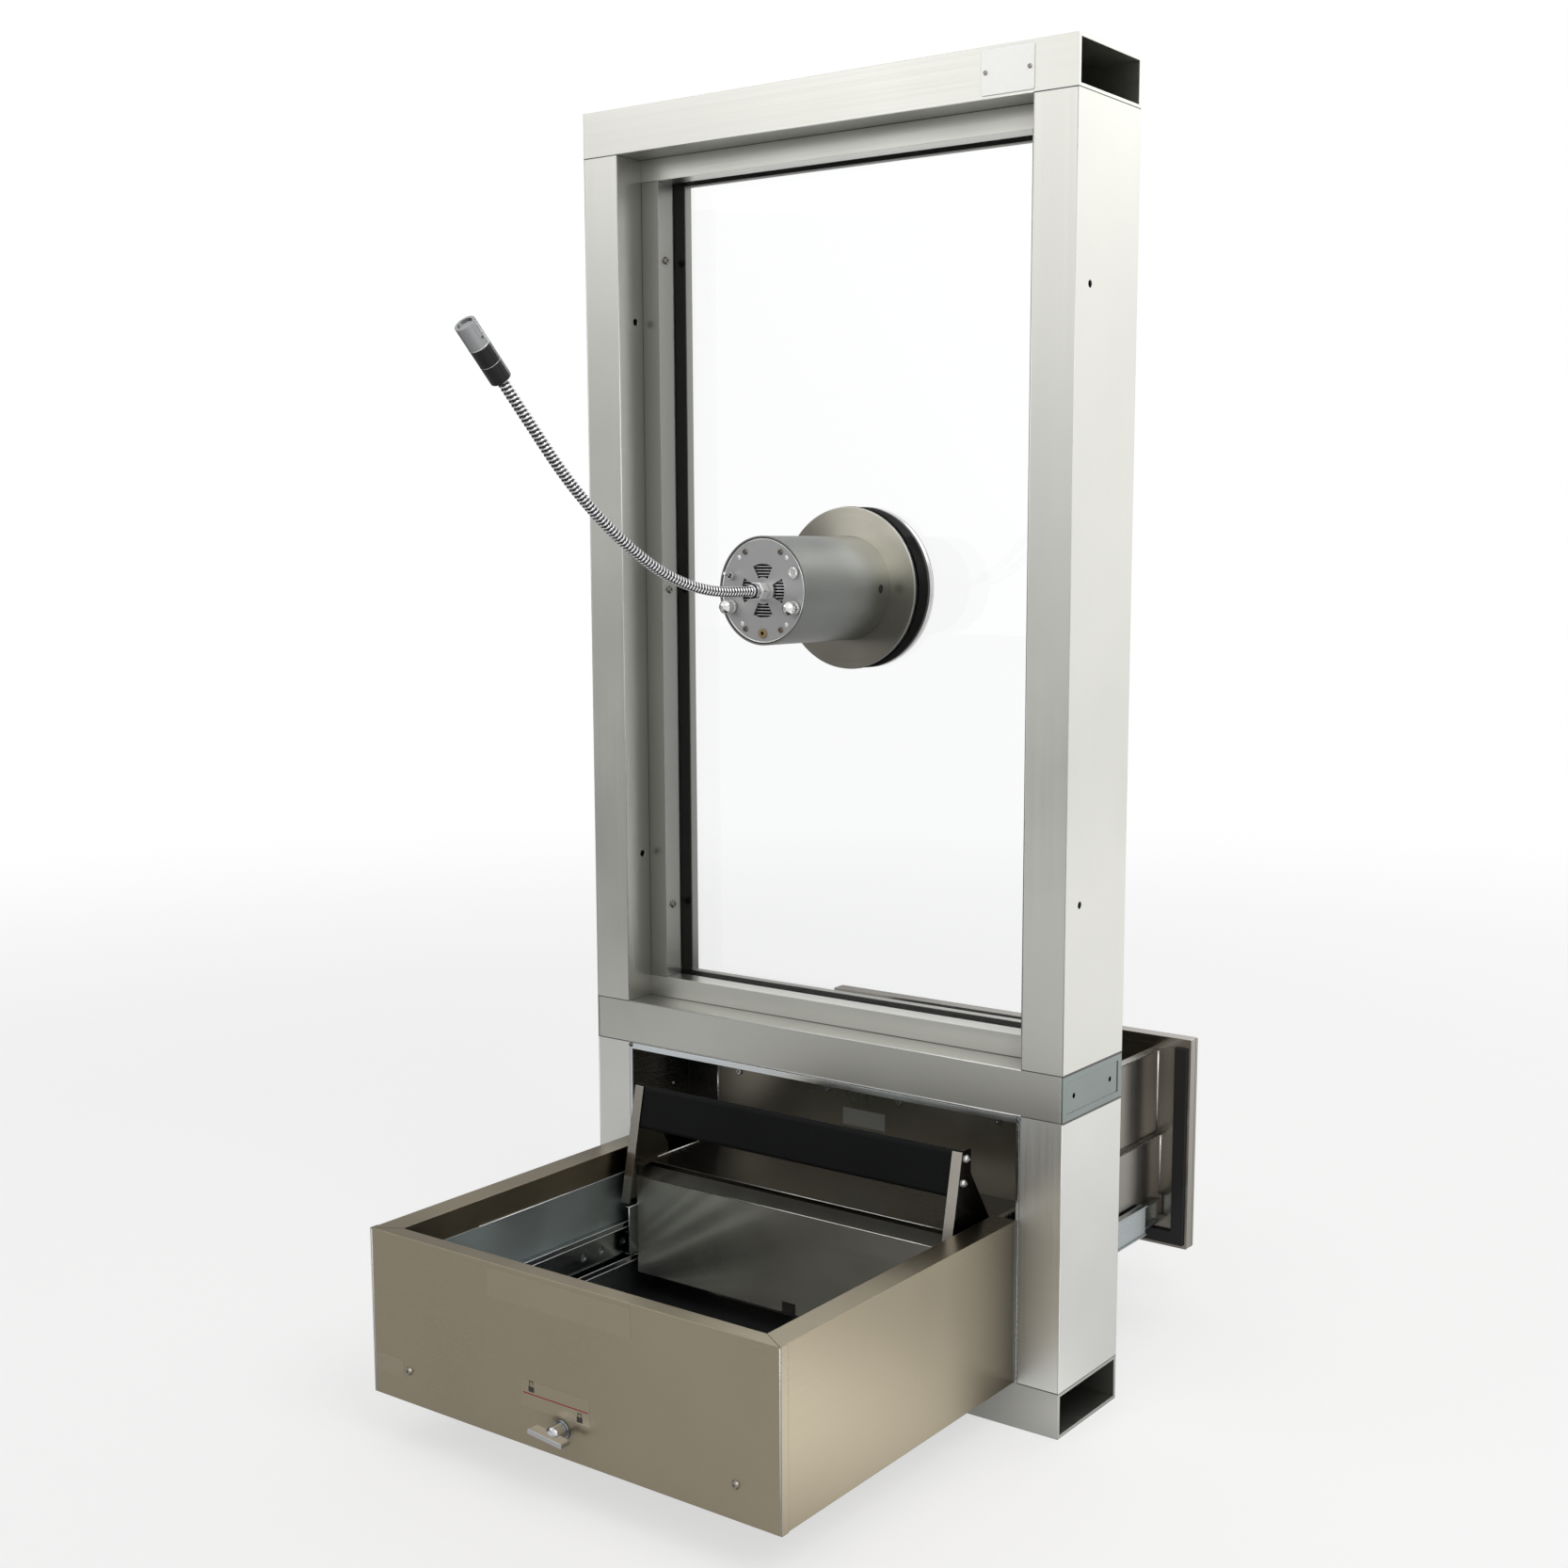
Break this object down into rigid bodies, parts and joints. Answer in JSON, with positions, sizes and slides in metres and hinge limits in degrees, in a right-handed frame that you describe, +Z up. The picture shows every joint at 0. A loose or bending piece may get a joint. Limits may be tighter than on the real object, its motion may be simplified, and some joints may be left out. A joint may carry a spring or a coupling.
{
  "type": "teller window with deposit drawer",
  "caption": "Glazed teller transaction window in an aluminium tube frame, with a sliding deposit drawer below and a talk-through intercom with gooseneck microphone.",
  "frame": {"origin": "middle of the sill's underside, halfway through the frame's depth", "axes": "+X to the teller's right, +Y towards the customer, +Z up; the teller stands on the -Y side"},
  "size_m": [0.5716, 0.8519, 1.2636],
  "materials": {
    "clear_anodised_aluminium": "satin, fine lengthwise grain",
    "zinc_plated_steel": "bright zinc, faintly cloudy",
    "brushed_stainless_housing": "number 4 brushed",
    "dark_stainless_tray": "smooth, reflecting dark surroundings",
    "bright_brushed_stainless": "bright brushed",
    "black_floor": "matt",
    "security_glazing": "clear, polished",
    "black_rubber": "matt",
    "textured_black_grip": "fine pebble texture",
    "mild_steel_core": "plain",
    "steel_screws": "bright",
    "silver_intercom": "fine matt silver",
    "bright_chrome": "polished",
    "black_plastic": "satin"
  },
  "bodies": {
    "window": {"sill_tube": "clear_anodised_aluminium", "transom_tube": "clear_anodised_aluminium", "header_tube": "clear_anodised_aluminium", "transom_end_plates": "zinc_plated_steel", "lower_jamb_left": "clear_anodised_aluminium", "lower_jamb_right": "clear_anodised_aluminium", "upper_jamb_left": "clear_anodised_aluminium", "upper_jamb_right": "clear_anodised_aluminium", "inner_side_stops": "clear_anodised_aluminium", "inner_cross_stops": "clear_anodised_aluminium", "outer_side_stops": "clear_anodised_aluminium", "outer_cross_stops": "clear_anodised_aluminium", "glazing_tapes": "black_rubber", "glass_pane": "security_glazing", "setting_blocks": "black_rubber", "frame_screws": "steel_screws", "name_plate": "bright_brushed_stainless", "plate_screws": "steel_screws", "drawer_sleeve": "zinc_plated_steel", "housing_shell": "brushed_stainless_housing", "floor_plate": "black_floor", "housing_screws": "steel_screws", "slide_bracket_left": "zinc_plated_steel", "slide_bracket_right": "zinc_plated_steel", "slide_outer_left": "zinc_plated_steel", "slide_outer_right": "zinc_plated_steel", "lock_bushing": "zinc_plated_steel", "intercom_body": "silver_intercom", "intercom_gaskets": "black_rubber", "outer_disc": "silver_intercom", "intercom_face": "silver_intercom", "speaker_grille": "black_plastic", "face_screws": "steel_screws", "headset_jack": "black_plastic", "toggle_bushing": "steel_screws", "mic_socket": "bright_chrome"},
    "runner_left": {"slide_middle_left": "zinc_plated_steel"},
    "runner_right": {"slide_middle_right": "zinc_plated_steel"},
    "drawer": {"slide_inner_members": "zinc_plated_steel", "tray_pan": "dark_stainless_tray", "tray_deck": "dark_stainless_tray", "tray_bulkhead": "dark_stainless_tray", "tray_front_wall": "bright_brushed_stainless", "customer_panel": "dark_stainless_tray", "panel_backing": "dark_stainless_tray", "panel_gasket": "black_rubber", "handle_arm_left": "dark_stainless_tray", "handle_arm_right": "dark_stainless_tray", "grip_core": "mild_steel_core", "grip_cover": "textured_black_grip", "drawer_screws": "steel_screws"},
    "lock": {"lock_shaft": "zinc_plated_steel", "lock_lever": "bright_chrome"},
    "toggle": {"toggle_lever": "bright_chrome"},
    "knob_left": {"volume_knob_left": "bright_chrome"},
    "knob_right": {"volume_knob_right": "bright_chrome"},
    "knob_tone": {"tone_knob": "bright_chrome"},
    "microphone": {"gooseneck": "bright_chrome", "mic_sleeve": "black_plastic", "mic_head": "silver_intercom"}
  },
  "joints": [
    {"name": "drawer_slide", "type": "slide", "parent": "window", "child": "drawer", "axis": [0, 1, 0], "range_m": [-0.276, 0]},
    {"name": "runner_left_slide", "type": "slide", "parent": "window", "child": "runner_left", "axis": [0, 1, 0], "range_m": [-0.2346, 0]},
    {"name": "runner_right_slide", "type": "slide", "parent": "window", "child": "runner_right", "axis": [0, 1, 0], "range_m": [-0.2346, 0]},
    {"name": "lock_turn", "type": "hinge", "parent": "window", "child": "lock", "pos_m": [0, -0.42915, 0.071], "axis": [0, 1, 0], "range_deg": [-90, 0]},
    {"name": "volume_left_turn", "type": "hinge", "parent": "window", "child": "knob_left", "pos_m": [-0.033, -0.13735, 0.7729], "axis": [0, 1, 0], "range_deg": [-150, 150]},
    {"name": "volume_right_turn", "type": "hinge", "parent": "window", "child": "knob_right", "pos_m": [0.041, -0.13735, 0.7729], "axis": [0, 1, 0], "range_deg": [-150, 150]},
    {"name": "tone_turn", "type": "hinge", "parent": "window", "child": "knob_tone", "pos_m": [0.041, -0.13735, 0.8054], "axis": [0, 1, 0], "range_deg": [-150, 150]},
    {"name": "toggle_flick", "type": "hinge", "parent": "window", "child": "toggle", "pos_m": [-0.0325, -0.1384, 0.8019], "axis": [1, 0, 0], "range_deg": [0, 24]},
    {"name": "mic_swivel", "type": "hinge", "parent": "window", "child": "microphone", "pos_m": [0.004, -0.14835, 0.7884], "axis": [0, 1, 0], "range_deg": [-60, 60]}
  ],
  "couplings": [
    {"joint": "runner_left_slide", "follows": "drawer_slide", "ratio": 0.85},
    {"joint": "runner_right_slide", "follows": "drawer_slide", "ratio": 0.85}
  ]
}
